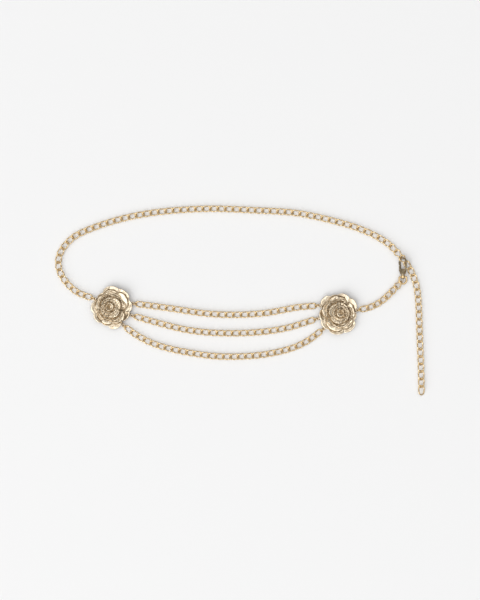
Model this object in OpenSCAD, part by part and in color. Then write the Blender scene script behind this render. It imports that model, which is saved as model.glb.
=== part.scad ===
// Waist chain with two cast roses, three front strands, a long back chain and a snap hook.
// It lies on a flat surface: +X along the strands, +Y toward the back chain, +Z up, millimetres.

/* [Chain links] */
// Thickness of the link wire
wire_d = 1.4; // [1.2:0.05:1.5]
// Width of a link
link_w = 7; // [6.8:0.1:7.6]
// Wanted distance from one link to the next, before it is fitted to each chain's length
link_pitch = 7.95; // [7.9:0.01:8]
// Play between two interlocked links
link_slack = 0.4; // [0.35:0.01:0.45]
// Turn of each end of a link out of the middle plane
link_twist = 30; // [29:0.5:32]

/* [Jump rings] */
// Outer diameter of a jump ring
ring_d = 5.4; // [5.2:0.05:5.8]
// Thickness of the jump ring wire
ring_wire = 1.1; // [0.9:0.05:1.2]
// Lean of a jump ring from the flat
ring_lean = 66; // [62:1:75]

/* [Roses] */
// Width of the rose casting
rose_w = 43.5; // [42.5:0.5:45]
// Length of the rose casting across its width
rose_l = 45; // [43.5:0.5:46]
// Height of the rose casting
rose_h = 11; // [10:0.5:13]
// Space between a lug and the petals over it
petal_over_lug = 0.15; // [0.1:0.05:0.3]
// Radius of the hollow in the back
hollow_r = 13.5; // [8:0.5:14.5]
// Depth of the hollow in the back
hollow_depth = 2.6; // [1:0.1:2.8]
// Turn of the right rose against the left one
right_rose_turn = 216; // [212:1:218]

/* [Rose lugs] */
// Diameter of the hole in a lug
lug_hole = 2; // [1.8:0.05:2.2]
// Width of the metal around the hole
lug_rim = 0.8; // [0.7:0.05:0.9]
// Thickness of a lug
lug_t = 1; // [0.8:0.05:1.2]

/* [Snap hook] */
// Width of the hook over its loop
hook_w = 10.6; // [10.2:0.1:11]
// Thickness of the hook wire
hook_wire = 1.8; // [1.6:0.05:1.9]
// Length from the bend's centre to the body
hook_leg = 6.9; // [6.5:0.1:7.5]
// Length of the tapered body
hook_body_l = 5.4; // [5:0.1:6.5]
// Thickness of the tapered body
hook_body_t = 3.2; // [3:0.1:3.4]
// Diameter of the neck below the body
neck_d = 3.8; // [3.4:0.1:4.2]
// Diameter of the swivel stem
stem_d = 1.8; // [1.6:0.05:2]
// Diameter of the lever pin
pin_d = 1; // [0.8:0.05:1.1]
// Thickness of the lever
lever_t = 1.4; // [1.2:0.05:1.5]
// Roll of the lying hook, its right side up
hook_roll = 37.5; // [37:0.5:38]
// Height of the hook's long axis
hook_axis_z = 3.6; // [3.55:0.01:3.65]

/* [Bail] */
// Width of the bail
bail_w = 9.6; // [9.4:0.1:10]
// Length of the bail
bail_l = 9.2; // [9:0.1:10]
// Thickness of the bail wire
bail_wire = 1.8; // [1.6:0.05:1.9]
// Diameter of the barrel that turns on the stem
barrel_d = 4.2; // [3.8:0.1:4.6]

/* [Fits] */
// Gap around a turning pin or stem
pin_clear = 0.12; // [0.1:0.01:0.15]
// Gap between parts that lie side by side
side_clear = 0.2; // [0.15:0.01:0.25]
// Play of a link on a ring or bail that it hangs on
hang_slack = 0.22; // [0.2:0.01:0.28]

/* [Hidden] */
gold = [0.86, 0.73, 0.52];
pale_gold = [0.82, 0.76, 0.62];
bronze = [0.50, 0.45, 0.33];

// Centres of the two roses
left_rose_at = [-135, -7.5];
right_rose_at = [104.2, -13.8];

// Routes of the chains over the surface, between their fastened ends
long_points = [[-172, 8.5], [-184.5, 20], [-191.5, 33.5], [-191, 48], [-182.5, 61], [-168, 71.5], [-130, 85],
    [-87, 93.4], [-34, 97], [19, 95.2], [61, 92.3], [104, 83], [134, 73], [156, 61], [167.5, 49.5],
    [179.5, 35], [187, 16], [189.4, -4], [190.6, -38], [192, -72], [192.5, -99]];
upper_points = [[-76, -8.1], [-34, -14.1], [0, -15.2], [30, -13.1], [60, -7.5]];
middle_points = [[-87, -23.7], [-55, -31.4], [-20, -34.7], [19, -33.8], [51, -29]];
lower_points = [[-108, -37.5], [-87, -47.5], [-55, -55.1], [-20, -59.4], [19, -58.2], [51, -52], [71, -43.5]];
side_points = [[138.5, -7.2], [152, 0.5]];

// Place of the link that the hook holds, as a share of the long chain
held_share = 0.7566;
// Links near the hook: [place against the held link, lift of its first joint, roll in degrees]
held_poses = [[-2, 0.05, -5], [-1, 0.65, -15], [0, 1.45, -18], [1, 0, -2]];
// Centre of the hook's bend, along and across the held link from its middle
hook_from_held = [2.05, -2.42];
// Roll angles of the last links of the side chain, ending at the bail, and how far they lift it
side_angles = [-10, -20, -30];
side_lift = 0.22;

// Lugs of the rose casting: [angle, distance of the hole as a share of the rose's radius there]
lugs = [[154, 0.9389], [11, 1.0287], [-22, 1.0253], [-58.5, 0.9857]];
back_lug = 0;
upper_lug = 1;
middle_lug = 2;
lower_lug = 3;

// Petals of the rose in rings, outermost first: [angle, half width in degrees, reach, rim height],
// lengths as shares of the rose's half width and of its relief
petal_rings = [
    [[91, 31, 1, 0.42], [47, 31, 1, 0.5], [6, 25, 0.97, 0.4], [-29, 25, 0.92, 0.5], [-80, 28, 1, 0.4],
        [-112, 22, 0.9, 0.36], [214, 27, 0.98, 0.48], [179, 25, 1, 0.38], [136, 24, 0.86, 0.46]],
    [[28, 38, 0.83, 0.56], [150, 40, 0.78, 0.55], [232, 40, 0.8, 0.58], [300, 36, 0.78, 0.55],
        [88, 34, 0.8, 0.6]],
    [[64, 46, 0.66, 0.68], [134, 44, 0.63, 0.72], [203, 46, 0.66, 0.66], [277, 44, 0.64, 0.71],
        [348, 44, 0.66, 0.65]],
    [[22, 55, 0.5, 0.82], [114, 54, 0.48, 0.85], [205, 56, 0.5, 0.81], [292, 54, 0.49, 0.84]],
    [[81, 72, 0.34, 0.92], [200, 71, 0.35, 0.9], [319, 72, 0.33, 0.93]],
    [[19, 100, 0.19, 1], [200, 101, 0.18, 0.96]]];
// Points across a petal, from its rim inward: [share of the way to the next ring, share of the height]
petal_profile = [[0, 0.84], [0.16, 1], [0.56, 0.62], [0.94, 0.5]];
// How deep the groove inside each ring of petals is, as a share of the profile's depth
groove_share = [1, 0.45, 0.9, 0.4, 0.7, 0.8];
petal_spokes = 72;
heart_share = 0.9;
// Depth of the dip between two petals as a share of their reach, and the power of its outline
dip_share = 0.2;
petal_power = 2.6;
// Rise from one side of a petal to the other, as a share of its height
lap_share = 0.13;
// Lean of an inner petal into a spiral, as a share of its reach
spiral_share = 0.07;
// Least step inward from one ring of petals to the next, as a share of the rose's reach
ring_step_share = 0.05;

wire_r = wire_d / 2;
arm_y = (link_w - wire_d) / 2;
bow_r = arm_y / cos(link_twist);
arm_rise = bow_r * sin(link_twist);
bow_x = (link_pitch + wire_d + link_slack) / 2 - bow_r;
bow_reach = bow_x + bow_r;
arm_slope = atan2(arm_rise, bow_x);
arm_lap = 0.05;
arm_swell = 1.01;
arm_top = arm_rise + 0.9 * wire_r;

ring_r = (ring_d - ring_wire) / 2;
ring_wire_r = ring_wire / 2;
ring_z = ring_r * sin(ring_lean) + ring_wire_r;
// From a lug's hole to the middle of the wire of the link on its ring, and on to the chain's first joint
hole_to_wire = 2 * ring_r - ring_wire_r - wire_r - hang_slack;
hole_to_joint = hole_to_wire + bow_reach - link_pitch / 2;

relief_z = ring_z + lug_t / 2 + petal_over_lug;
relief_sink = 0.5;
plate_rim = 3.5;
lug_r = lug_hole / 2 + lug_rim;
lug_root_r = hollow_r + plate_rim / 2;

hook_wire_r = hook_wire / 2;
hook_r = (hook_w - hook_wire) / 2;
hook_end_a = 160;
leg_foot_x = 0.73 * hook_r;
body_top_w = 2 * leg_foot_x + hook_wire;
neck_step = 0.4;
body_low_w = neck_d + 2 * neck_step;
body_edge = 1;
pivot_drop = 1.5;
pin_inset = 0.1;
pivot = [-leg_foot_x, -hook_leg - pivot_drop];
lever_w = 1.7;
lever_root_r = 1.25;
lever_nub_r = 0.9;
lever_swing = 25;
lever_tip = hook_r * [cos(hook_end_a), sin(hook_end_a)];
lever_a = atan2(lever_tip[1] - pivot[1], lever_tip[0] - pivot[0]);
lever_l = norm(lever_tip - pivot) - 3 * side_clear;
neck_y = -hook_leg - hook_body_l;
neck_l = 1.6;
barrel_l = 2.4;
barrel_y = neck_y - neck_l - side_clear - barrel_l / 2;
head_y = barrel_y - barrel_l / 2 - side_clear;
head_l = 1;
head_lip = 0.8;
head_d = stem_d + 2 * head_lip;
bail_wire_r = bail_wire / 2;
bail_leg_x = (bail_w - bail_wire) / 2;
bail_corner_r = 1.4;
bail_corner_x = bail_leg_x - bail_corner_r;
bail_corner_y = barrel_y - bail_corner_r;
bail_bend_y = barrel_y + bail_wire_r - bail_l + bail_w / 2;
embed = 0.5;

// Smooth curve through the points of a route
function blend(a, b, c, d, t) = 0.5 * (2 * b + (c - a) * t + (2 * a - 5 * b + 4 * c - d) * t * t
    + (3 * b - a - 3 * c + d) * t * t * t);
function before(p, i) = i > 0 ? p[i - 1] : 2 * p[0] - p[1];
function after(p, i) = i < len(p) ? p[i] : 2 * p[len(p) - 1] - p[len(p) - 2];
function curve(p, steps = 16) = [
    for (i = [0 : len(p) - 2]) for (k = [0 : steps - 1])
        blend(before(p, i), p[i], p[i + 1], after(p, i + 2), k / steps),
    p[len(p) - 1]];
function lengths(q) = [for (i = 0, s = 0; i < len(q);
    i = i + 1, s = i < len(q) ? s + norm(q[i] - q[i - 1]) : s) s];
function at_length(q, s, t) =
    let (i = max([for (k = [0 : len(s) - 2]) if (s[k] <= t) k]))
    q[i] + (q[i + 1] - q[i]) * (t - s[i]) / (s[i + 1] - s[i]);
// Joints of a chain along its route, at equal distances near the wanted pitch
function joints(points) =
    let (q = curve(points), s = lengths(q), total = s[len(s) - 1], count = round(total / link_pitch))
    [for (k = [0 : count]) at_length(q, s, total * k / count)];
function unit(v) = v / norm(v);
function last(v) = v[len(v) - 1];

// Where the chains end
function lug_reach(l) = l[1] / norm([cos(l[0]) / (rose_w / 2), sin(l[0]) / (rose_l / 2)]);
function lug_at(centre, turn, l) = centre + lug_reach(l) * [cos(l[0] + turn), sin(l[0] + turn)];
left_holes = [for (l = lugs) lug_at(left_rose_at, 0, l)];
right_holes = [for (l = lugs) lug_at(right_rose_at, right_rose_turn, l)];
function first_joint(hole, toward) = hole + hole_to_joint * unit(toward - hole);
function between(hole_a, points, hole_b) = concat([first_joint(hole_a, points[0])], points,
    [first_joint(hole_b, last(points))]);

long_joints = joints(concat([first_joint(left_holes[back_lug], long_points[0])], long_points));
upper_joints = joints(between(left_holes[upper_lug], upper_points, right_holes[lower_lug]));
middle_joints = joints(between(left_holes[middle_lug], middle_points, right_holes[middle_lug]));
lower_joints = joints(between(left_holes[lower_lug], lower_points, right_holes[upper_lug]));

// The hook follows the held link, and the side chain follows the bail
held_link = round(held_share * (len(long_joints) - 1) - 0.5);
held_along = unit(long_joints[held_link + 1] - long_joints[held_link]);
held_across = [-held_along[1], held_along[0]];
held_middle = (long_joints[held_link] + long_joints[held_link + 1]) / 2;
hook_at = held_middle + hook_from_held[0] * held_along + hook_from_held[1] * held_across;
bail_bend_at = hook_at + [0, bail_bend_y];
side_toward = unit(bail_bend_at - last(side_points));
side_end = bail_bend_at
    - side_toward * (bail_leg_x - bail_wire_r - wire_r - hang_slack + bow_reach - link_pitch / 2);
side_joints = joints(concat([first_joint(right_holes[back_lug], side_points[0])], side_points, [side_end]));

// Rolls and lifts of the links: most lie level
function near_hook(k) = [for (row = held_poses) if (row[0] == k - held_link) row];
function long_roll(k) = len(near_hook(k)) > 0 ? near_hook(k)[0][2] : 0;
function long_lift(k) = len(near_hook(k)) > 0 ? near_hook(k)[0][1] : 0;
function side_roll(k) =
    let (i = k - (len(side_joints) - 1) + len(side_angles))
    i < 0 ? 0 : side_angles[min(i, len(side_angles) - 1)];
// Height of a joint whose two links touch the surface, from their rolls
function joint_z(roll_before, roll_after) =
    wire_r + bow_r * max(abs(sin(roll_before - link_twist)), abs(sin(roll_after + link_twist)));

long_path = [for (k = [0 : len(long_joints) - 1])
    concat(long_joints[k], joint_z(long_roll(k - 1), long_roll(k)) + long_lift(k))];
side_path = [for (k = [0 : len(side_joints) - 1])
    concat(side_joints[k], joint_z(side_roll(k - 1), side_roll(k)) + (side_roll(k) == 0 ? 0 : side_lift))];
function level(path) = [for (p = path) concat(p, joint_z(0, 0))];

// One curb link: two bent ends turned against each other and two sloping arms
module link_end() {
    rotate([-link_twist, 0, 0]) translate([bow_x, 0, 0]) rotate([0, 0, -90])
        rotate_extrude(angle = 180, $fn = 24) translate([bow_r, 0]) circle(r = wire_r, $fn = 16);
}
module link_arm() {
    intersection() {
        translate([0, arm_y, 0]) rotate([0, 90 + arm_slope, 0])
            cylinder(r = wire_r * arm_swell, h = 4 * bow_r, center = true, $fn = 16);
        translate([-bow_x - arm_lap, 0, -arm_top]) cube([2 * (bow_x + arm_lap), 2 * arm_y, 2 * arm_top]);
    }
}
module link() {
    link_end();
    rotate([0, 180, 0]) link_end();
    link_arm();
    rotate([180, 0, 0]) link_arm();
}
module link_between(a, b, roll) {
    d = b - a;
    translate((a + b) / 2) rotate([roll, -atan2(d[2], norm([d[0], d[1]])), atan2(d[1], d[0])]) link();
}

module chain_back() {
    color(gold) for (k = [0 : held_link]) link_between(long_path[k], long_path[k + 1], long_roll(k));
}
module chain_tail() {
    color(gold) for (k = [held_link + 1 : len(long_path) - 2])
        link_between(long_path[k], long_path[k + 1], long_roll(k));
}
module chain_side() {
    color(gold) for (k = [0 : len(side_path) - 2]) link_between(side_path[k], side_path[k + 1], side_roll(k));
}
module strand(path) {
    color(gold) for (k = [0 : len(path) - 2]) link_between(path[k], path[k + 1], 0);
}

// Jump ring through a lug's hole, toward the chain that hangs on it
module jump_ring(hole, toward) {
    along = unit(toward - hole);
    color(gold) translate(concat(hole, ring_z)) rotate([0, 0, atan2(along[1], along[0])])
        translate([ring_r, 0, 0]) rotate([-ring_lean, 0, 0])
            rotate_extrude($fn = 32) translate([ring_r, 0]) circle(r = ring_wire_r, $fn = 16);
}

// The relief of the rose: rings of petals, each ring standing above the one outside it
function turn_share(p, a) = ((a - p[0] + 540) % 360 - 180) / p[1];
function petal_at(p, u, lean) = [
    p[2] * (1 - dip_share * pow(abs(u), petal_power) + lean * u),
    p[3] * (1 + lap_share * u) / (1 + lap_share)];
function ring_at(i, a) =
    let (near = [for (p = petal_rings[i]) petal_at(p, turn_share(p, a), i > 0 ? spiral_share : 0)],
        rim = max([for (n = near) n[0]]))
    [for (n = near) if (n[0] == rim) n][0];
function inside(rim, outer) = [min(rim[0], outer[0] - ring_step_share), rim[1]];
function rims_at(a) = [for (i = 0, rim = ring_at(0, a); i < len(petal_rings);
    i = i + 1, rim = i < len(petal_rings) ? inside(ring_at(i, a), rim) : rim) rim];
function groove_at(i, step) = step[0] > 0 ? groove_share[i] : groove_share[max(i - 1, 0)];
function spoke(a) =
    let (rims = concat(rims_at(a), [[0, heart_share]]))
    [for (i = [0 : len(petal_rings) - 1]) for (step = petal_profile)
        [rims[i][0] + (rims[i + 1][0] - rims[i][0]) * step[0],
            rims[i][1] * (1 - (1 - step[1]) * groove_at(i, step))]];
module relief() {
    n = petal_spokes;
    rows = len(petal_rings) * len(petal_profile) + 1;
    foot = [for (i = [0 : n - 1]) [ring_at(0, 360 * i / n)[0], 0]];
    points = [for (i = [0 : n - 1]) for (q = concat([foot[i]], spoke(360 * i / n)))
        [q[0] * rose_w / 2 * cos(360 * i / n), q[0] * rose_l / 2 * sin(360 * i / n),
            q[1] * (rose_h - relief_z)]];
    top = n * rows;
    faces = [
        for (i = [0 : n - 1]) for (j = [0 : rows - 2])
            let (a = i * rows + j, b = (i + 1) % n * rows + j)
            each [[a, a + 1, b + 1], [a, b + 1, b]],
        for (i = [0 : n - 1]) [i * rows + rows - 1, top, (i + 1) % n * rows + rows - 1],
        for (i = [0 : n - 1]) [(i + 1) % n * rows, top + 1, i * rows]];
    polyhedron(concat(points, [[0, 0, heart_share * (rose_h - relief_z)], [0, 0, 0]]), faces);
}
module lug(l) {
    rotate([0, 0, l[0]]) translate([0, 0, ring_z - lug_t / 2]) {
        translate([lug_reach(l), 0, 0]) cylinder(r = lug_r, h = lug_t, $fn = 20);
        translate([lug_root_r, -lug_r, 0]) cube([lug_reach(l) - lug_root_r, 2 * lug_r, lug_t]);
    }
}
module rose(centre, turn) {
    color(pale_gold) translate(concat(centre, 0)) rotate([0, 0, turn]) difference() {
        union() {
            translate([0, 0, relief_z]) relief();
            cylinder(r = hollow_r + plate_rim, h = relief_z + relief_sink, $fn = 40);
            for (l = lugs) lug(l);
        }
        translate([0, 0, -embed]) cylinder(r1 = hollow_r + embed, r2 = hollow_r - hollow_depth,
            h = hollow_depth + embed, $fn = 40);
        for (l = lugs) rotate([0, 0, l[0]]) translate([lug_reach(l), 0, ring_z - lug_t])
            cylinder(r = lug_hole / 2, h = 2 * lug_t, $fn = 20);
    }
}

// Snap hook, with the centre of its bend as the origin and its long axis along Y
module at_hook(roll) {
    translate(concat(hook_at, hook_axis_z)) rotate([0, -roll, 0]) children();
}
module down(y, d, l) {
    translate([0, y, 0]) rotate([90, 0, 0]) cylinder(d = d, h = l, $fn = 32);
}
module body_block() {
    t = hook_body_t / 2;
    e = body_edge;
    w = body_top_w / 2;
    intersection() {
        linear_extrude(height = hook_body_t, center = true)
            polygon([[-w, -hook_leg], [w, -hook_leg], [body_low_w / 2, neck_y], [-body_low_w / 2, neck_y]]);
        rotate([90, 0, 0]) linear_extrude(height = 4 * hook_leg, center = true)
            polygon([[-w, e - t], [e - w, -t], [w - e, -t], [w, e - t],
                [w, t - e], [w - e, t], [e - w, t], [-w, t - e]]);
    }
}
module lever_slot() {
    t = lever_t + 2 * side_clear;
    right = lever_root_r + side_clear + (pivot[1] + lever_root_r + hook_leg) * tan(lever_swing) + 0.5;
    translate([pivot[0] - hook_w, pivot[1] - lever_root_r - side_clear, -t / 2])
        cube([hook_w + max(right, lever_root_r + side_clear), hook_leg, t]);
}
module hook_body() {
    foot = [leg_foot_x, -hook_leg - embed];
    lean = atan2(hook_r - foot[0], -foot[1]);
    color(bronze) at_hook(hook_roll) {
        rotate_extrude(angle = hook_end_a, $fn = 32) translate([hook_r, 0])
            circle(r = hook_wire_r, $fn = 20);
        translate([hook_r, 0, 0]) sphere(r = hook_wire_r * arm_swell, $fn = 24);
        translate([hook_r, 0, 0]) rotate([90, 0, -lean])
            cylinder(r = hook_wire_r, h = norm(foot - [hook_r, 0]), $fn = 20);
        difference() {
            body_block();
            lever_slot();
        }
        translate(concat(pivot, 0))
            cylinder(d = pin_d, h = hook_body_t - 2 * pin_inset, center = true, $fn = 20);
        down(neck_y + embed, neck_d, neck_l + embed);
        down(neck_y, stem_d, neck_y - head_y + embed);
        down(head_y, head_d, head_l);
    }
}
module hook_lever() {
    color(bronze) at_hook(hook_roll) translate(concat(pivot, 0)) rotate([0, 0, lever_a]) difference() {
        union() {
            cylinder(r = lever_root_r, h = lever_t, center = true, $fn = 24);
            translate([0, -lever_w / 2, -lever_t / 2]) cube([lever_l, lever_w, lever_t]);
            translate([lever_l * 0.55, lever_w / 2, lever_t / 4]) sphere(r = lever_nub_r, $fn = 24);
        }
        cylinder(d = pin_d + 2 * pin_clear, h = 2 * lever_t, center = true, $fn = 20);
    }
}
module bail_bend(x, y, r, start, angle) {
    translate([x, y, 0]) rotate([0, 0, start])
        rotate_extrude(angle = angle, $fn = 32) translate([r, 0]) circle(r = bail_wire_r, $fn = 20);
}
module hook_bail() {
    color(gold) at_hook(0) difference() {
        union() {
            bail_bend(0, bail_bend_y, bail_leg_x, 180, 180);
            bail_bend(bail_corner_x, bail_corner_y, bail_corner_r, 0, 90);
            bail_bend(-bail_corner_x, bail_corner_y, bail_corner_r, 90, 90);
            for (s = [-1, 1]) translate([s * bail_leg_x, bail_corner_y, 0]) rotate([90, 0, 0])
                cylinder(r = bail_wire_r, h = bail_corner_y - bail_bend_y, $fn = 20);
            translate([-bail_corner_x, barrel_y, 0]) rotate([0, 90, 0])
                cylinder(r = bail_wire_r, h = 2 * bail_corner_x, $fn = 20);
            down(barrel_y + barrel_l / 2, barrel_d, barrel_l);
        }
        down(barrel_y + barrel_l, stem_d + 2 * pin_clear, 2 * barrel_l);
    }
}

chain_back();
chain_tail();
chain_side();
strand(level(upper_joints));  // strand_upper
strand(level(middle_joints));  // strand_middle
strand(level(lower_joints));  // strand_lower
rose(left_rose_at, 0);  // rose_left
rose(right_rose_at, right_rose_turn);  // rose_right
jump_ring(left_holes[back_lug], long_points[0]);  // ring_back
jump_ring(left_holes[upper_lug], upper_points[0]);  // ring_left_upper
jump_ring(left_holes[middle_lug], middle_points[0]);  // ring_left_middle
jump_ring(left_holes[lower_lug], lower_points[0]);  // ring_left_lower
jump_ring(right_holes[lower_lug], last(upper_points));  // ring_right_upper
jump_ring(right_holes[middle_lug], last(middle_points));  // ring_right_middle
jump_ring(right_holes[upper_lug], last(lower_points));  // ring_right_lower
jump_ring(right_holes[back_lug], side_points[0]);  // ring_side
hook_body();
hook_lever();
hook_bail();
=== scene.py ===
# %% [markdown]
# # Waist chain with two rose ornaments
# The chain lies flat on a pale surface, seen from straight above: two cast roses, three hanging strands
# between them, a long chain round the back and a snap hook. Everything could be drawn anew here, but a link
# drawn on its own soon drifts from where it hangs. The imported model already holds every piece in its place,
# so this lesson dresses that: smooth twisted links, fuller petals, plated metal and soft light.

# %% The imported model
import math
import bpy
import bmesh
import numpy as np
from mathutils import Matrix, Vector, noise


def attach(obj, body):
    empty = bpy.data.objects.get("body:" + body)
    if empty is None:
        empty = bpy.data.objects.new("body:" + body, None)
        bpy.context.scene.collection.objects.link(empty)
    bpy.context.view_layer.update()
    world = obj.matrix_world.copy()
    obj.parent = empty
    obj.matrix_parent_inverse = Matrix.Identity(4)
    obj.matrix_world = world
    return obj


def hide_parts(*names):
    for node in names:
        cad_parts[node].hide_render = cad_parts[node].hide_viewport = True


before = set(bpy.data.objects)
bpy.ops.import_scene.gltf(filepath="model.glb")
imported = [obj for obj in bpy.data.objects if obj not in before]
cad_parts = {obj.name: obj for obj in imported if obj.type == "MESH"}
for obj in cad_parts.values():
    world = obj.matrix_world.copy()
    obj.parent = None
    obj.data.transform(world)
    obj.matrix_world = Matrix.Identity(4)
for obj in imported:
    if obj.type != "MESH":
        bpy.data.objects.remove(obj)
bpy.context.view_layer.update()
MM = 0.001

# %% [markdown]
# Camera, floor, lights and every dressed piece come into the scene in the same way: an object is made for
# some data and linked to the collection. The operators of the Add menu would do that too, but they also
# change what is selected, so a short function is steadier.

# %% New objects
def new_object(name, data):
    """An object for this data, in the scene and at the origin."""
    made = bpy.data.objects.new(name, data)
    bpy.context.scene.collection.objects.link(made)
    return made

# %% [markdown]
# ## Camera
# The photograph looks straight down, and the chain keeps one scale from edge to edge. A flat camera without
# perspective could show that, but a long lens from a metre and a half is what such a picture is taken with.
# One pixel covers 1.06 mm of the surface, so 600 pixels of height cover 636 mm, and that gives the distance.

# %% Camera
PIXEL = 1.06 * MM
FRAME_HEIGHT = 600 * PIXEL
LENS, SENSOR = 85, 36
OVER_X, OVER_Y = 0.4 * MM, 0.45 * MM
camera = new_object("camera", bpy.data.cameras.new("camera"))
camera.data.lens = LENS
camera.data.sensor_fit = "AUTO"
camera.data.sensor_width = SENSOR
camera.location = (OVER_X, OVER_Y, FRAME_HEIGHT * LENS / SENSOR)
bpy.context.scene.camera = camera
print("camera height in metres:", round(camera.location.z, 3))

# %% [markdown]
# ## Floor and light
# The object lies on plain white paper. A curved studio backdrop could stand in for it, but straight from
# above only one flat sheet is seen, so a single grid is enough. It lies a hair under the chain, so that the
# two surfaces don't share a plane.

# %% Floor
FLOOR_REACH, FLOOR_DROP = 6, 0.2 * MM
PAPER_WHITE, PAPER_ROUGH = 0.845, 0.9
sheet = bmesh.new()
bmesh.ops.create_grid(sheet, x_segments=1, y_segments=1, size=FLOOR_REACH)
floor = new_object("floor", bpy.data.meshes.new("floor"))
sheet.to_mesh(floor.data)
sheet.free()
floor.location.z = -FLOOR_DROP
paper = bpy.data.materials.new("pale_paper")
paper.use_nodes = True
surface = paper.node_tree.nodes["Principled BSDF"]
surface.inputs["Base Color"].default_value = (PAPER_WHITE, PAPER_WHITE, PAPER_WHITE, 1)
surface.inputs["Roughness"].default_value = PAPER_ROUGH
floor.data.materials.append(paper)
print("floor reaches", FLOOR_REACH, "m each way")

# %% [markdown]
# The shadows are soft and fall up and to the right. A sun lamp would draw them hard, so one very large disk
# of light stands on the left in front like a window, and a weaker one overhead fills the shadows. Their
# powers are set so that the paper comes out just short of white.

# %% Lights
def soft_light(name, place, width, watts):
    """A disk of light at this place, turned toward the object."""
    light = new_object(name, bpy.data.lights.new(name, "AREA"))
    light.data.shape = "DISK"
    light.data.size = width
    light.data.energy = watts
    light.location = place
    light.rotation_euler = (-Vector(place)).to_track_quat("-Z", "Y").to_euler()


soft_light("window", place=(-5.2, -5.2, 6.8), width=12, watts=711)
soft_light("sky", place=(0, 1.2, 11), width=8, watts=240)
bpy.context.scene.view_settings.view_transform = "Standard"

# %% [markdown]
# Round wire only looks round when it has something dark to mirror. In a studio that is the room beyond the
# white ceiling. A picture of a real room could be mirrored, but a gradient does as well on wire this thin:
# the world is bright overhead and dim toward the horizon. The camera itself still sees a plain pale room.

# %% The room
HORIZON, CEILING, SEEN_BY_CAMERA = 0.1, 0.695, 0.9
DIM_BELOW, BRIGHT_ABOVE = 0.1, 0.8
world = bpy.data.worlds.new("studio")
bpy.context.scene.world = world
world.use_nodes = True
room = world.node_tree
direction = room.nodes.new("ShaderNodeTexCoord")
upward = room.nodes.new("ShaderNodeSeparateXYZ")
glow = room.nodes.new("ShaderNodeMapRange")
glow.inputs["From Min"].default_value = DIM_BELOW
glow.inputs["From Max"].default_value = BRIGHT_ABOVE
glow.inputs["To Min"].default_value = HORIZON
glow.inputs["To Max"].default_value = CEILING
seen = room.nodes.new("ShaderNodeLightPath")
shown = room.nodes.new("ShaderNodeMix")
shown.inputs["B"].default_value = SEEN_BY_CAMERA
room.links.new(direction.outputs["Generated"], upward.inputs["Vector"])
room.links.new(upward.outputs["Z"], glow.inputs["Value"])
room.links.new(seen.outputs["Is Camera Ray"], shown.inputs["Factor"])
room.links.new(glow.outputs["Result"], shown.inputs["A"])
room.links.new(shown.outputs["Result"], room.nodes["Background"].inputs["Strength"])
room.nodes["Background"].inputs["Color"].default_value = (1, 1, 1, 1)
print("room: horizon", HORIZON, "ceiling", CEILING)

# %% [markdown]
# ## What all the plated metal shares
# Plating is never even: it clouds slightly, and fine handling marks catch the light. Each metal could have
# its own noise nodes, but they all do the same thing, so one node group gives a cloud mask, a mark mask and
# a bumped normal, and each metal takes them with its own sizes.

# %% Plating group
plating = bpy.data.node_groups.new("plating", "ShaderNodeTree")
for name in ("Cloud Scale", "Mark Scale", "Mark Depth"):
    plating.interface.new_socket(name, in_out="INPUT", socket_type="NodeSocketFloat")
for name, kind in (("Cloud", "NodeSocketFloat"), ("Mark", "NodeSocketFloat"), ("Normal", "NodeSocketVector")):
    plating.interface.new_socket(name, in_out="OUTPUT", socket_type=kind)
group_in = plating.nodes.new("NodeGroupInput")
group_out = plating.nodes.new("NodeGroupOutput")
on_piece = plating.nodes.new("ShaderNodeTexCoord")
cloud = plating.nodes.new("ShaderNodeTexNoise")
cloud.inputs["Detail"].default_value = 3
marks = plating.nodes.new("ShaderNodeTexNoise")
marks.inputs["Detail"].default_value = 4
bump = plating.nodes.new("ShaderNodeBump")
bump.inputs["Strength"].default_value = 1.0
plating.links.new(on_piece.outputs["Object"], cloud.inputs["Vector"])
plating.links.new(group_in.outputs["Cloud Scale"], cloud.inputs["Scale"])
plating.links.new(on_piece.outputs["Object"], marks.inputs["Vector"])
plating.links.new(group_in.outputs["Mark Scale"], marks.inputs["Scale"])
plating.links.new(marks.outputs["Fac"], bump.inputs["Height"])
plating.links.new(group_in.outputs["Mark Depth"], bump.inputs["Distance"])
plating.links.new(cloud.outputs["Fac"], group_out.inputs["Cloud"])
plating.links.new(marks.outputs["Fac"], group_out.inputs["Mark"])
plating.links.new(bump.outputs["Normal"], group_out.inputs["Normal"])
print("plating group:", len(plating.nodes), "nodes")

# %% [markdown]
# A metal's colour drifts with the clouds and its roughness with the marks. Two small helpers make the two
# kinds of drift: a ramp goes from mask to colour, and a level goes from mask to number. A Mix node could
# blend the colours as well, but a ramp also says at which part of the mask the blend begins and ends.

# %% Ramp and level helpers
CLOUD_FROM, CLOUD_TO = 0.3, 0.7


def ramp(tree, mask, dark, light):
    """A colour from dark to light, as the mask goes from CLOUD_FROM to CLOUD_TO."""
    node = tree.nodes.new("ShaderNodeValToRGB")
    stops = zip(node.color_ramp.elements, (CLOUD_FROM, CLOUD_TO), (dark, light))
    for element, position, colour in stops:
        element.position = position
        element.color = (*colour, 1)
    tree.links.new(mask, node.inputs["Fac"])
    return node.outputs["Color"]


def level(tree, mask, low, high):
    """A number from low to high, as the mask goes from 0 to 1."""
    node = tree.nodes.new("ShaderNodeMapRange")
    node.inputs["To Min"].default_value = low
    node.inputs["To Max"].default_value = high
    tree.links.new(mask, node.inputs["Value"])
    return node.outputs["Result"]

# %% [markdown]
# Plated metal is metal through and through to the eye, so it is one metallic shader. A coat over a base
# would be nearer to how it is made, but the coat is metal too and hides the base, so only its own colour,
# roughness and marks are needed.

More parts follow.
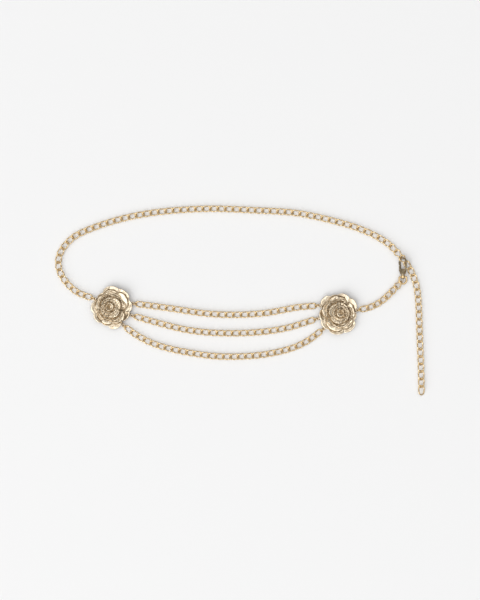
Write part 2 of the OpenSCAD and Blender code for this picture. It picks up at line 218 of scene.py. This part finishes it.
# %% Plated metal
def plated(name, dark, light, rough, cloud_scale, mark_scale, mark_depth):
    """Plated metal: its colour drifts with the clouds and its roughness with the marks."""
    material = bpy.data.materials.new(name)
    material.use_nodes = True
    tree = material.node_tree
    shader = tree.nodes["Principled BSDF"]
    group = tree.nodes.new("ShaderNodeGroup")
    group.node_tree = plating
    group.inputs["Cloud Scale"].default_value = cloud_scale
    group.inputs["Mark Scale"].default_value = mark_scale
    group.inputs["Mark Depth"].default_value = mark_depth
    shader.inputs["Metallic"].default_value = 1.0
    tree.links.new(ramp(tree, group.outputs["Cloud"], dark, light), shader.inputs["Base Color"])
    tree.links.new(level(tree, group.outputs["Mark"], *rough), shader.inputs["Roughness"])
    tree.links.new(group.outputs["Normal"], shader.inputs["Normal"])
    return material

# %% [markdown]
# ## The metals
# The chain is light gold and fairly bright, and its rings and bail are a shade deeper. The roses are a paler
# champagne with a satin face. The hook is an older, darker bronze. They could share one material with a
# colour for each piece, but they wear differently, so each has its own colours, roughness and marks.

# %% Metals
chain_gold = plated("chain_gold", dark=(0.79, 0.60, 0.34), light=(0.91, 0.73, 0.46), rough=(0.22, 0.38),
                    cloud_scale=60, mark_scale=1400, mark_depth=0.02 * MM)
ring_gold = plated("ring_gold", dark=(0.64, 0.45, 0.22), light=(0.79, 0.60, 0.34), rough=(0.22, 0.4),
                   cloud_scale=200, mark_scale=1400, mark_depth=0.02 * MM)
hook_bronze = plated("hook_bronze", dark=(0.22, 0.17, 0.10), light=(0.40, 0.32, 0.21), rough=(0.32, 0.5),
                     cloud_scale=300, mark_scale=1400, mark_depth=0.03 * MM)
rose_gold = plated("rose_gold", dark=(0.74, 0.61, 0.44), light=(0.92, 0.81, 0.64), rough=(0.3, 0.5),
                   cloud_scale=260, mark_scale=900, mark_depth=0.1 * MM)
print("metals:", [m.name for m in (chain_gold, ring_gold, hook_bronze, rose_gold)])

# %% [markdown]
# Patina gathers where a polishing cloth doesn't reach, in the grooves of the roses. The same dull colour is
# also painted shade: in the deep gaps between petals, and where one link lies in the next, where it is partly
# tarnish and partly painted contact shade. Each such piece carries a number at every vertex, 0 on its open
# faces and 1 in its hollows.
# The number could be painted by hand, but the code that shapes a piece already knows where its hollows are.
# One node group breaks the number up into specks and lays the dull colour over the clean one.

# %% Patina and painted shade group
SPECK_WEIGHT = 1.6
patina_and_shade = bpy.data.node_groups.new("patina_and_shade", "ShaderNodeTree")
for name in ("Clean", "Dull"):
    patina_and_shade.interface.new_socket(name, in_out="INPUT", socket_type="NodeSocketColor")
for name in ("Hollow", "Speck Scale", "Start", "End"):
    patina_and_shade.interface.new_socket(name, in_out="INPUT", socket_type="NodeSocketFloat")
patina_and_shade.interface.new_socket("Color", in_out="OUTPUT", socket_type="NodeSocketColor")
inlet = patina_and_shade.nodes.new("NodeGroupInput")
outlet = patina_and_shade.nodes.new("NodeGroupOutput")
specks = patina_and_shade.nodes.new("ShaderNodeTexNoise")
specks.inputs["Detail"].default_value = 2
gathered = patina_and_shade.nodes.new("ShaderNodeMath")
gathered.operation = "MULTIPLY_ADD"
gathered.inputs[1].default_value = SPECK_WEIGHT
cover = patina_and_shade.nodes.new("ShaderNodeMapRange")
laid = patina_and_shade.nodes.new("ShaderNodeMix")
laid.data_type = "RGBA"
in_hollow = patina_and_shade.nodes.new("ShaderNodeTexCoord")
patina_and_shade.links.new(in_hollow.outputs["Object"], specks.inputs["Vector"])
patina_and_shade.links.new(inlet.outputs["Speck Scale"], specks.inputs["Scale"])
patina_and_shade.links.new(specks.outputs["Fac"], gathered.inputs[0])
patina_and_shade.links.new(inlet.outputs["Hollow"], gathered.inputs[2])
patina_and_shade.links.new(gathered.outputs["Value"], cover.inputs["Value"])
patina_and_shade.links.new(inlet.outputs["Start"], cover.inputs["From Min"])
patina_and_shade.links.new(inlet.outputs["End"], cover.inputs["From Max"])
patina_and_shade.links.new(cover.outputs["Result"], laid.inputs["Factor"])
patina_and_shade.links.new(inlet.outputs["Clean"], laid.inputs["A"])
patina_and_shade.links.new(inlet.outputs["Dull"], laid.inputs["B"])
patina_and_shade.links.new(laid.outputs["Result"], outlet.inputs["Color"])
print("patina group:", len(patina_and_shade.nodes), "nodes")

# %% [markdown]
# The group is then slipped between a metal's clean colour and its shader. The rings and the hook could have
# it too, but they are small and evenly worn. Rose and chain take it, each with its own dull colour, speck
# size and reach: on the rose it is patina in the grooves and painted shade in the deep gaps, on the chain
# partly tarnish and partly painted contact shade at the link ends.

# %% Patina and painted shade on a metal
def add_patina_and_shade(material, attribute, dull, speck_scale, start, end):
    """Lay patina and painted shade over the metal's clean colour where the attribute says so."""
    tree = material.node_tree
    colour = tree.nodes["Principled BSDF"].inputs["Base Color"]
    hollow = tree.nodes.new("ShaderNodeAttribute")
    hollow.attribute_name = attribute
    group = tree.nodes.new("ShaderNodeGroup")
    group.node_tree = patina_and_shade
    group.inputs["Dull"].default_value = (*dull, 1)
    group.inputs["Speck Scale"].default_value = speck_scale
    group.inputs["Start"].default_value = start
    group.inputs["End"].default_value = end
    tree.links.new(colour.links[0].from_socket, group.inputs["Clean"])
    tree.links.new(hollow.outputs["Fac"], group.inputs["Hollow"])
    tree.links.new(group.outputs["Color"], colour)


# On the rose the dull colour is patina in the grooves and painted shade in the deep gaps.
add_patina_and_shade(rose_gold, "recess", dull=(0.38, 0.295, 0.195), speck_scale=700, start=0.95, end=1.6)
# On the chain the dull colour is partly tarnish and partly painted contact shade at the link ends.
add_patina_and_shade(chain_gold, "joint_tarnish_and_shade", dull=(0.74, 0.55, 0.29), speck_scale=900, start=0.9, end=1.7)
print("patina on:", rose_gold.name, chain_gold.name)

# %% [markdown]
# ## One curb link
# A curb link is an oval of round wire with its two ends turned against each other, so that the chain lies
# flat. It could be a curve with a round bevel, but a curve twists its own way at the bends. So a circle of
# wire is spun round each end and drawn out along each arm, and then every vertex turns about the long axis
# by how far along the link it stands.

# %% Measures of a link
WIRE = 0.7 * MM
LINK_PITCH, LINK_PLAY = 7.95 * MM, 0.4 * MM
TWIST = math.radians(30)
ARM_Y = 2.8 * MM
BOW = ARM_Y / math.cos(TWIST)
BOW_X = (LINK_PITCH + 2 * WIRE + LINK_PLAY) / 2 - BOW
WIRE_SIDES, BOW_STEPS, ARM_STEPS = 8, 9, 5
DOUBLES = 0.001 * MM
print("a link is", round((BOW_X + BOW + WIRE) * 2 / MM, 2), "mm long")

# %% [markdown]
# Extruding hands back a mixed list of new vertices, edges and faces. Only two kinds are wanted again: the
# new vertices, and the edges that join two of them, from which the next step is drawn. The edges could be
# found again by where they lie, but in a bend that is less sure.

# %% What was drawn last
def verts_of(geometry):
    return [g for g in geometry if isinstance(g, bmesh.types.BMVert)]


def edges_of(geometry):
    return [g for g in geometry if isinstance(g, bmesh.types.BMEdge)]


def front_of(geometry):
    """The edges along the front of what was drawn, without those that lead back."""
    new = set(verts_of(geometry))
    return [e for e in edges_of(geometry) if e.verts[0] in new and e.verts[1] in new]

# %% [markdown]
# One circle of wire goes all the way round, as a wire is wound: half a turn about one end, along an arm, half
# a turn about the other end and along the other arm. There it meets its own beginning and is joined to it.

# %% Oval of wire
def oval_of_wire():
    bm = bmesh.new()
    stand = Matrix.Translation((BOW_X, BOW, 0)) @ Matrix.Rotation(math.radians(90), 4, "Y")
    bmesh.ops.create_circle(bm, segments=WIRE_SIDES, radius=WIRE, matrix=stand)
    end = list(bm.verts) + list(bm.edges)
    for side in (1, -1):
        turned = bmesh.ops.spin(bm, geom=end, cent=(side * BOW_X, 0, 0), axis=(0, 0, -1),
                                angle=math.pi, steps=BOW_STEPS)
        end = turned["geom_last"]
        for step in range(ARM_STEPS):
            drawn = bmesh.ops.extrude_edge_only(bm, edges=edges_of(end))["geom"]
            bmesh.ops.translate(bm, verts=verts_of(drawn), vec=(-side * 2 * BOW_X / ARM_STEPS, 0, 0))
            end = verts_of(drawn) + front_of(drawn)
    bmesh.ops.remove_doubles(bm, verts=bm.verts, dist=DOUBLES)
    return bm

# %% [markdown]
# The two ends turn against each other, and the arms slope from one to the other. Turned alone, the arms
# would bulge outward in the middle, so they are drawn in by as much. A hand that bends a real link does the
# same with two pairs of pliers. The ends of each link are also where the next one lies, and there the colour
# is darker: partly tarnish, partly painted contact shade.

# %% Twist, and tarnish with painted contact shade
ARM_FROM = 0.5 * BOW
TARNISH_AND_SHADE_FROM = 1.6 * MM


def twist_ends(bm):
    for v in bm.verts:
        share = max(-1.0, min(1.0, v.co.x / BOW_X))
        turn = -TWIST * math.sin(share * math.pi / 2)
        keep = BOW * (math.cos(TWIST) - math.cos(turn))
        side = max(-1.0, min(1.0, v.co.y / ARM_FROM))
        y, z = v.co.y, v.co.z
        v.co.y = y * math.cos(turn) - z * math.sin(turn) + side * keep
        v.co.z = y * math.sin(turn) + z * math.cos(turn)
    bmesh.ops.recalc_face_normals(bm, faces=bm.faces)


def mark_joint_tarnish_and_shade(bm):
    """1 inside each end, where the next link lies and tarnish with painted contact shade darkens it, and 0
    along the arms.
    """
    # This number darkens the link ends: partly tarnish, partly painted contact shade.
    joint_tarnish_and_shade = bm.verts.layers.float.new("joint_tarnish_and_shade")
    for v in bm.verts:
        along = (abs(v.co.x) - TARNISH_AND_SHADE_FROM) / (BOW_X + BOW - WIRE - TARNISH_AND_SHADE_FROM)
        v[joint_tarnish_and_shade] = max(0.0, min(1.0, along))


link_bm = oval_of_wire()
twist_ends(link_bm)
mark_joint_tarnish_and_shade(link_bm)
link_mesh = bpy.data.meshes.new("curb_link")
link_bm.to_mesh(link_mesh)
open_edges = sum(len(e.link_faces) != 2 for e in link_bm.edges)
print("one link:", len(link_bm.faces), "faces, open edges:", open_edges)
link_bm.free()

# %% [markdown]
# ## The chains
# Each solid link of the model says where a drawn link goes. The places could be written out again, 159 of
# them, but the model knows them already: a solid's middle is the link's middle, and its longest, middle and
# shortest directions are the link's own axes. A link looks the same after half a turn, so it doesn't matter
# which way round an axis points.

# %% The solid links
MERGE = 0.002 * MM


def islands(node):
    """The loose solids of a model node, as arrays of triangle corners."""
    bm = bmesh.new()
    bm.from_mesh(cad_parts[node].data)
    bmesh.ops.triangulate(bm, faces=bm.faces)
    bmesh.ops.remove_doubles(bm, verts=bm.verts, dist=MERGE)
    bm.faces.ensure_lookup_table()
    seen, out = set(), []
    for first in bm.faces:
        if first.index in seen:
            continue
        seen.add(first.index)
        queue, found = [first], []
        while queue:
            face = queue.pop()
            found.append([v.co[:] for v in face.verts])
            for v in face.verts:
                for near in v.link_faces:
                    if near.index not in seen:
                        seen.add(near.index)
                        queue.append(near)
        out.append(np.array(found))
    bm.free()
    return out

# %% [markdown]
# A solid's axes come from how its surface is spread round its middle. It could be measured by the corners
# alone, but they crowd together in the bends, so each triangle counts by its area.

# %% Axes of a solid
def own_axes(triangles):
    """Middle and axes of a solid, from the area of its surface."""
    a, b, c = triangles[:, 0], triangles[:, 1], triangles[:, 2]
    area = np.linalg.norm(np.cross(b - a, c - a), axis=1)[:, None] / 2
    centre = (a + b + c) / 3
    middle = (area * centre).sum(0) / area.sum()
    spread = sum(((p - middle) * area).T @ (p - middle) for p in (a, b, c, centre))
    _, axes = np.linalg.eigh(spread)
    x, y = Vector(axes[:, 2]), Vector(axes[:, 1])
    turn = Matrix((x, y, x.cross(y))).transposed().to_4x4()
    return Matrix.Translation(Vector(middle)) @ turn

# %% [markdown]
# Every drawn piece is finished the same way: its mesh is kept, shaded smooth and given its metal, and it
# takes the place of its solid and rides on the belt.

# %% Finished piece
def piece_from(bm, name, node, material):
    """A finished piece that stands for a model node."""
    mesh = bpy.data.meshes.new(name)
    bm.to_mesh(mesh)
    bm.free()
    mesh.polygons.foreach_set("use_smooth", [True] * len(mesh.polygons))
    mesh.materials.append(material)
    piece = new_object(name, mesh)
    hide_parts(node)
    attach(piece, "belt")

# %% [markdown]
# A chain is one piece, as in the model. Its links could be objects of their own, but a hundred and more
# objects are slow to handle and never move apart here, so each chain's links are gathered in one mesh.

# %% The six chains
chains = {"chain_back": "long_chain", "chain_tail": "free_tail", "chain_side": "side_chain",
          "strand_upper": "upper_strand", "strand_middle": "middle_strand", "strand_lower": "lower_strand"}
for node, name in chains.items():
    bm = bmesh.new()
    # The layer that darkens the link ends, with tarnish and painted contact shade.
    bm.verts.layers.float.new("joint_tarnish_and_shade")
    places = [own_axes(solid) for solid in islands(node)]
    for place in places:
        before = len(bm.verts)
        bm.from_mesh(link_mesh)
        bm.verts.ensure_lookup_table()
        bmesh.ops.transform(bm, matrix=place, verts=bm.verts[before:])
    piece_from(bm, name, node, chain_gold)
    print(name, "links:", len(places))

# %% [markdown]
# ## The roses
# One rose is cast twice. Its 28 petals stand in six rings, each ring higher than the one outside it. They
# could be separate leaves, but a casting is one skin with grooves in it. So the table gives each petal's
# middle, half width, reach and height, and one skin is laid over all of them.

# %% Petal table
ROSE_W, ROSE_L, ROSE_H = 43.5 * MM, 45 * MM, 11 * MM
RELIEF_Z = 3.164 * MM
# Each petal: angle of its middle and half its width in degrees, its reach and its height as shares
petal_rings = [
    [(91, 31, 1, 0.42), (47, 31, 1, 0.5), (6, 25, 0.97, 0.4), (-29, 25, 0.92, 0.5), (-80, 28, 1, 0.4),
     (-112, 22, 0.9, 0.36), (214, 27, 0.98, 0.48), (179, 25, 1, 0.38), (136, 24, 0.86, 0.46)],
    [(28, 38, 0.83, 0.56), (150, 40, 0.78, 0.55), (232, 40, 0.8, 0.58), (300, 36, 0.78, 0.55),
     (88, 34, 0.8, 0.6)],
    [(64, 46, 0.66, 0.68), (134, 44, 0.63, 0.72), (203, 46, 0.66, 0.66), (277, 44, 0.64, 0.71),
     (348, 44, 0.66, 0.65)],
    [(22, 55, 0.5, 0.82), (114, 54, 0.48, 0.85), (205, 56, 0.5, 0.81), (292, 54, 0.49, 0.84)],
    [(81, 72, 0.34, 0.92), (200, 71, 0.35, 0.9), (319, 72, 0.33, 0.93)],
    [(19, 100, 0.19, 1), (200, 101, 0.18, 0.96)]]
# How deep the groove inside each ring is
groove_depth = [1, 0.45, 0.9, 0.4, 0.7, 0.8]
print("petals:", sum(len(ring) for ring in petal_rings))

# %% [markdown]
# All petals share one profile, from the underside of the lip over its edge and down into the groove. A few
# places where a petal stands well clear of the next are listed too, because no rule would find them. These
# deep gaps are cut deeper and their colour is darkened with painted shade.

# %% Profile of a petal
# Across a petal: share of the way to the next ring, share of its height, patina
rim_to_groove = [(0.0, 0.74, 0.9), (-0.05, 0.9, 0.3), (0.0, 0.98, 0.0), (0.1, 1.0, 0.0), (0.22, 0.95, 0.1),
                 (0.36, 0.84, 0.35), (0.46, 0.77, 0.4), (0.56, 0.76, 0.1), (0.68, 0.66, 0.25),
                 (0.82, 0.54, 0.75), (0.95, 0.49, 1.0)]
LIP_ROWS = 3
# A gap beside a petal: angle of its middle, half its width, its reach and half its depth inward
deep_gaps = [(-26, 17, 0.79, 0.07), (220, 15, 0.80, 0.06), (165, 14, 0.79, 0.05), (100, 18, 0.75, 0.04),
             (62, 22, 0.60, 0.035), (20, 14, 0.62, 0.03), (118, 20, 0.48, 0.035), (250, 18, 0.62, 0.03)]
print("rows across a petal:", len(rim_to_groove), "deep gaps:", len(deep_gaps))

# %% [markdown]
# Seen along one spoke from the rim to the bud, the skin goes up over each petal's lip, along its face and
# down into the groove before the next. These two functions say where the lip of each ring is at an angle,
# and list the points of that spoke from outside to inside.

# %% Spokes over the petals
PETAL_DIP, PETAL_ROUND, PETAL_LAP, PETAL_SPIRAL = 0.2, 2.6, 0.13, 0.07
RING_STEP, HEART, HEART_R = 0.05, 0.66, 0.004


def turn_share(angle, middle, half):
    """How far an angle lies from a middle, in half widths, the short way round."""
    return ((angle - middle + 540) % 360 - 180) / half


def rim_at(ring, angle):
    """Reach and height of the petal that stands out most at this angle."""
    best = None
    lean = 0 if ring is petal_rings[0] else PETAL_SPIRAL
    for middle, half, reach, height in ring:
        u = turn_share(angle, middle, half)
        r = reach * (1 - PETAL_DIP * abs(u) ** PETAL_ROUND + lean * u)
        if best is None or r > best[0]:
            best = (r, height * (1 + PETAL_LAP * u) / (1 + PETAL_LAP))
    return best


def spoke(angle):
    """The points of one spoke, each its reach, height and patina as shares."""
    rims = [rim_at(petal_rings[0], angle)]
    for ring in petal_rings[1:]:
        reach, height = rim_at(ring, angle)
        rims.append((min(reach, rims[-1][0] - RING_STEP), height))
    rims.append((0.0, HEART))
    points = [(rims[0][0], 0.0, 1.0)]
    for i, depth in enumerate(groove_depth):
        (r, h), (r_next, _) = rims[i], rims[i + 1]
        for k, (share, rise, dull) in enumerate(rim_to_groove):
            outside = groove_depth[i - 1] if i else 1
            deep = outside if k < LIP_ROWS else depth
            points.append((max(r + (r_next - r) * share, HEART_R), h * (1 - (1 - rise) * deep), dull * deep))
    return points

# %% [markdown]
# A master cut by hand is never regular. A few petals stand well clear of the next, the whole skin wavers by
# some tenths of a millimetre, and the inner petals are crinkled like cloth. A sculpted rose would have this
# from the start. Here it is worked out from the place of each vertex, so both castings have the same. The
# noise starts from a fixed seed, so that every run gives the same rose.

# %% Unevenness of the master
# Each waver: how wide in millimetres, where its pattern starts and how deep in millimetres
wavers = ((4.5, Vector((0, 0, 0)), 0.5), (1.9, Vector((7, 3, 1)), 0.22))
CRINKLE_SIZE, CREASE_SHARE = 2.1 * MM, 0.4
CRINKLED_TO, CRINKLE_FADE = 0.75, 0.15
noise.seed_set(5)


def gap_at(angle, reach):
    """How far a place lies in one of the deep gaps, from 0 to 1."""
    deepest = 0.0
    for middle, half, at, half_reach in deep_gaps:
        u = turn_share(angle, middle, half)
        v = (reach - at) / half_reach
        deepest = max(deepest, 1 - u * u - v * v)
    return max(0.0, deepest)


def cast_by_hand(co):
    """This place, moved as a hand-cut master wavers: some tenths of a millimetre every few millimetres."""
    moved = co.copy()
    for width, start, depth in wavers:
        moved += noise.noise_vector(co / (width * MM) + start) * depth * MM
    return moved


def crinkle_at(co, reach):
    """How far a place lies in a crinkle of the inner petals, from 0 on their swellings to 1 in a crease."""
    flat = Vector((co.x, co.y, 0)) / CRINKLE_SIZE
    near = noise.voronoi(flat)[0]
    crease = max(0.0, 1 - (near[1] - near[0]) / CREASE_SHARE)
    inner = max(0.0, min(1.0, (CRINKLED_TO - reach) / CRINKLE_FADE))
    return crease * inner

# %% [markdown]
# The skin starts as one circle at the foot of the outer petals. It is drawn inward row by row, and each new
# row settles where its spoke says. The last row closes over the bud, and the first one turns in underneath,
# so the petals are a closed shell. Where the skin dips, it also notes how much patina gathers there, and in
# the deep gaps how much painted shade is laid.

# %% One row of the skin
BUD_X, BUD_Y, BUD_REACH = -0.13 * ROSE_W / 2, 0.03 * ROSE_L / 2, 0.8
GAP_DEPTH, CREASE_DEPTH = 1.2 * MM, 0.28 * MM
# The second of these is how dark the deep gaps are painted: painted shade, not patina.
DULL_GROOVE, GAP_SHADE, DULL_CREASE, DULL_BUD = 0.9, 1.6, 0.8, 0.2
SPOKES = 216
spokes = [spoke(360 * i / SPOKES) for i in range(SPOKES)]


def settle(verts, row, dull, number):
    """Put a row of vertices where their spokes say, and note the patina there, with painted shade in the deep
    gaps.
    """
    for v in verts:
        i = v[number]
        r, h, groove = spokes[i][row]
        turn = 2 * math.pi * i / SPOKES
        gap = gap_at(360 * i / SPOKES, r)
        inward = max(0.0, 1 - r / BUD_REACH)
        v.co = (r * ROSE_W / 2 * math.cos(turn) + BUD_X * inward,
                r * ROSE_L / 2 * math.sin(turn) + BUD_Y * inward,
                RELIEF_Z + h * (ROSE_H - RELIEF_Z))
        crease = 0.0
        if row > 0:
            crease = crinkle_at(v.co, r)
            v.co = cast_by_hand(v.co) - Vector((0, 0, GAP_DEPTH * gap * h + CREASE_DEPTH * crease))
        # In the deep gaps the dull colour is painted shade; elsewhere it is patina.
        v[dull] = max(DULL_GROOVE * groove, min(1.0, GAP_SHADE * gap), DULL_CREASE * crease,
                      DULL_BUD * min(1.0, 2 * inward))


print("spokes:", SPOKES, "rows:", len(spokes[0]))

# %% [markdown]
# Each vertex of the circle carries the number of its spoke, and extruding copies that number inward. The
# angle could be measured again in every row, but the bud stands off the middle and would falsify it.

# %% Petals
FOOT_SHARE = 0.7


def petals_into(bm):
    dull, number = bm.verts.layers.float["recess"], bm.verts.layers.int["spoke"]
    ring = bmesh.ops.create_circle(bm, segments=SPOKES, radius=1)["verts"]
    foot = edges = list(bm.edges)
    for v in ring:
        v[number] = round(math.degrees(math.atan2(v.co.y, v.co.x)) % 360 / 360 * SPOKES) % SPOKES
    settle(ring, 0, dull, number)
    for row in range(1, len(spokes[0])):
        drawn = bmesh.ops.extrude_edge_only(bm, edges=edges)["geom"]
        edges = front_of(drawn)
        settle(verts_of(drawn), row, dull, number)
    bmesh.ops.contextual_create(bm, geom=edges)
    drawn = bmesh.ops.extrude_edge_only(bm, edges=foot)["geom"]
    for v in verts_of(drawn):
        v.co = (v.co.x * FOOT_SHARE, v.co.y * FOOT_SHARE, v.co.z)
        v[dull] = 1.0
    bmesh.ops.contextual_create(bm, geom=front_of(drawn))

# %% [markdown]
# Behind the petals is a low round plate with a hollow back, which saves metal in the real casting. Its
# half section is spun round the middle: a cylinder with a hole cut in it would need a boolean for the same.

# %% Plate
PLATE_R, HOLLOW_R, HOLLOW, EASE = 17 * MM, 13.5 * MM, 2.6 * MM, 0.3 * MM
PLATE_STEPS = 72


def spun(bm, verts, edges, steps):
    """Spin a section all the way round the upright axis."""
    bmesh.ops.spin(bm, geom=verts + edges, cent=(0, 0, 0), axis=(0, 0, 1), angle=2 * math.pi, steps=steps,
                   use_merge=True)


def plate_into(bm):
    section = [(0, HOLLOW), (HOLLOW_R - HOLLOW, HOLLOW), (HOLLOW_R, 0), (PLATE_R - EASE, 0),
               (PLATE_R, EASE), (PLATE_R, RELIEF_Z + EASE), (0, RELIEF_Z + EASE)]
    before = len(bm.verts)
    verts = [bm.verts.new((r, 0, z)) for r, z in section]
    edges = [bm.edges.new(pair) for pair in zip(verts, verts[1:])]
    spun(bm, verts, edges, PLATE_STEPS)
    bm.verts.ensure_lookup_table()
    bmesh.ops.remove_doubles(bm, verts=bm.verts[before:], dist=DOUBLES)

# %% [markdown]
# Four flat eyes stand out from the plate and hold the jump rings. In the casting they are one with the plate.
# Here each is a ring with softened edges, spun from its section, and a tongue that runs back under the
# petals: joining them by a boolean would show no more from any side.

# %% Eyes for the jump rings
EYE_R, EYE_RIM, EYE_HALF, EYE_Z = 1 * MM, 0.8 * MM, 0.5 * MM, 2.514 * MM
EYE_EASE, EYE_FLAT, EYE_STEPS, EYE_DULL = 0.12 * MM, 0.7, 32, 0.4
TONGUE_L, TONGUE_AT, TONGUE_W_SHARE, TONGUE_T_SHARE = 5 * MM, 2.6 * MM, 0.9, 0.98


def eye_into(bm, angle, distance):
    """An eye at this angle and distance from the middle of the rose."""
    bm_eye = bmesh.new()
    r, out, t = EYE_R, EYE_R + EYE_RIM, EYE_HALF
    section = [(r, -t * EYE_FLAT), (r + EYE_EASE, -t), (out - EYE_EASE, -t), (out, -t * EYE_FLAT),
               (out, t * EYE_FLAT), (out - EYE_EASE, t), (r + EYE_EASE, t), (r, t * EYE_FLAT)]
    verts = [bm_eye.verts.new((x, 0, z)) for x, z in section]
    edges = [bm_eye.edges.new(pair) for pair in zip(verts, verts[1:] + verts[:1])]
    spun(bm_eye, verts, edges, EYE_STEPS)
    tongue = bmesh.ops.create_cube(bm_eye, size=1)["verts"]
    bmesh.ops.scale(bm_eye, verts=tongue, vec=(TONGUE_L, 2 * out * TONGUE_W_SHARE, 2 * t * TONGUE_T_SHARE))
    bmesh.ops.translate(bm_eye, verts=tongue, vec=(-r - TONGUE_AT, 0, 0))
    where = Matrix.Rotation(math.radians(angle), 4, "Z") @ Matrix.Translation((distance, 0, EYE_Z))
    bmesh.ops.transform(bm_eye, verts=bm_eye.verts, matrix=where)
    mesh = bpy.data.meshes.new("eye")
    bm_eye.to_mesh(mesh)
    bm_eye.free()
    before = len(bm.verts)
    bm.from_mesh(mesh)
    bpy.data.meshes.remove(mesh)
    bm.verts.ensure_lookup_table()
    recess = bm.verts.layers.float["recess"]
    for v in bm.verts[before:]:
        v[recess] = EYE_DULL

# %% [markdown]
# Both roses come out of one mould, so the same steps run twice. The second could be a copy of the first
# mesh, but each has to be a piece with its own place in the frame, and making it again takes no time.

# %% Two castings of one rose
# Where a rose lies, in millimetres, and how far it is turned
roses = {"rose_left": ((-135, -7.5), 0), "rose_right": ((104.2, -13.8), 216)}
# The eyes: angle and share of the rose's half width
eyes = [(154, 0.945), (11, 1.03), (-22, 1.03), (-58.5, 1.01)]
for node, ((x, y), turn) in roses.items():
    bm = bmesh.new()
    bm.verts.layers.float.new("recess")
    bm.verts.layers.int.new("spoke")
    petals_into(bm)
    plate_into(bm)
    for angle, share in eyes:
        eye_into(bm, angle, ROSE_W / 2 * share)
    bmesh.ops.recalc_face_normals(bm, faces=bm.faces)
    where = Matrix.Translation((x * MM, y * MM, 0)) @ Matrix.Rotation(math.radians(turn), 4, "Z")
    bmesh.ops.transform(bm, matrix=where, verts=bm.verts)
    bm.verts.layers.int.remove(bm.verts.layers.int["spoke"])
    faces, open_edges = len(bm.faces), sum(len(e.link_faces) != 2 for e in bm.edges)
    piece_from(bm, node + "_cast", node, rose_gold)
    print(node, "faces:", faces, "open edges:", open_edges)

# %% [markdown]
# ## Rings and hook
# The jump rings are plain closed rings of wire, and the hook, its lever and its bail are small cast and bent
# parts. They could be drawn again with finer edges, but their solids are already the right shape and at
# this size no more would be seen. So they stay and only take their metal.

# %% Metal on the small parts
finish_of = {"hook_body": hook_bronze, "hook_lever": hook_bronze, "hook_bail": ring_gold}
for node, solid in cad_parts.items():
    if node.startswith("ring_") or node in finish_of:
        solid.data.materials.clear()
        solid.data.materials.append(finish_of.get(node, ring_gold))
        print(node, "is", solid.data.materials[0].name)

# %% [markdown]
# ## Done
# The last cell brings the scene up to date and finishes.

# %% Finish
bpy.context.view_layer.update()
